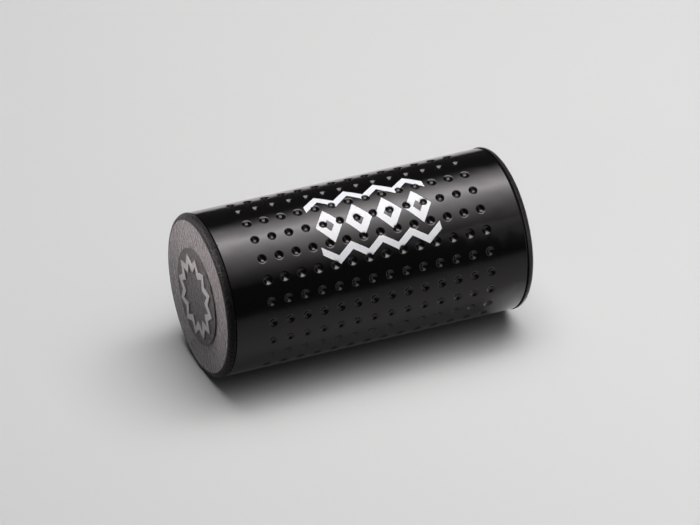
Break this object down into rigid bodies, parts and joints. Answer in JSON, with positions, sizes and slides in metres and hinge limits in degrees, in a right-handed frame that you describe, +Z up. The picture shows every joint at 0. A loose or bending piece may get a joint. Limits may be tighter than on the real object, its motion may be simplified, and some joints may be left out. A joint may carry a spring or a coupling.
{
  "type": "ganza shaker",
  "caption": "Cylinder shaker: a black metal tube with a grid of cone-shaped dents, plugged at both ends by moulded caps, holding loose steel shot that runs and rolls inside.",
  "frame": {"origin": "on the surface that the shaker lies on, under the middle of the tube", "axes": "+X along the tube's axis towards the right end cap, +Z up, -Y towards the viewer"},
  "size_m": [0.121, 0.0604, 0.0605],
  "materials": {
    "tube_paint": "satin black paint on aluminium",
    "cap_rubber": "black, fine moulded grain",
    "shot_steel": "bright steel shot"
  },
  "bodies": {
    "shell": {"dimpled_tube": "tube_paint", "left_end_cap": "cap_rubber", "right_end_cap": "cap_rubber"},
    "shot_row_1": {"shot_row_1": "shot_steel"},
    "shot_row_2": {"shot_row_2": "shot_steel"},
    "shot_row_3": {"shot_row_3": "shot_steel"},
    "shot_row_4": {"shot_row_4": "shot_steel"},
    "shot_row_5": {"shot_row_5": "shot_steel"},
    "shot_row_6": {"shot_row_6": "shot_steel"},
    "shot_heap_2": {"shot_heap_2": "shot_steel"},
    "shot_heap_1": {"shot_heap_1": "shot_steel"},
    "shot_heap_3": {"shot_heap_3": "shot_steel"}
  },
  "joints": [
    {"name": "shot_row_1_run", "type": "slide", "parent": "shell", "child": "shot_row_1", "axis": [1, 0, 0], "range_m": [-0.02724, 0.04076]},
    {"name": "shot_row_2_run", "type": "slide", "parent": "shell", "child": "shot_row_2", "axis": [1, 0, 0], "range_m": [-0.02355, 0.01746]},
    {"name": "shot_row_3_run", "type": "slide", "parent": "shell", "child": "shot_row_3", "axis": [1, 0, 0], "range_m": [-0.01118, 0.01362]},
    {"name": "shot_row_4_run", "type": "slide", "parent": "shell", "child": "shot_row_4", "axis": [1, 0, 0], "range_m": [-0.01423, 0.01057]},
    {"name": "shot_row_5_run", "type": "slide", "parent": "shell", "child": "shot_row_5", "axis": [1, 0, 0], "range_m": [-0.01138, 0.01883]},
    {"name": "shot_row_6_run", "type": "slide", "parent": "shell", "child": "shot_row_6", "axis": [1, 0, 0], "range_m": [-0.02132, 0.01428]},
    {"name": "shot_heap_roll", "type": "hinge", "parent": "shell", "child": "shot_heap_2", "pos_m": [0, 0, 0.03025], "axis": [1, 0, 0], "continuous": true},
    {"name": "shot_heap_1_run", "type": "slide", "parent": "shot_heap_2", "child": "shot_heap_1", "axis": [1, 0, 0], "range_m": [-0.03008, 0.03252]},
    {"name": "shot_heap_3_run", "type": "slide", "parent": "shot_heap_2", "child": "shot_heap_3", "axis": [1, 0, 0], "range_m": [-0.02488, 0.03232]}
  ]
}
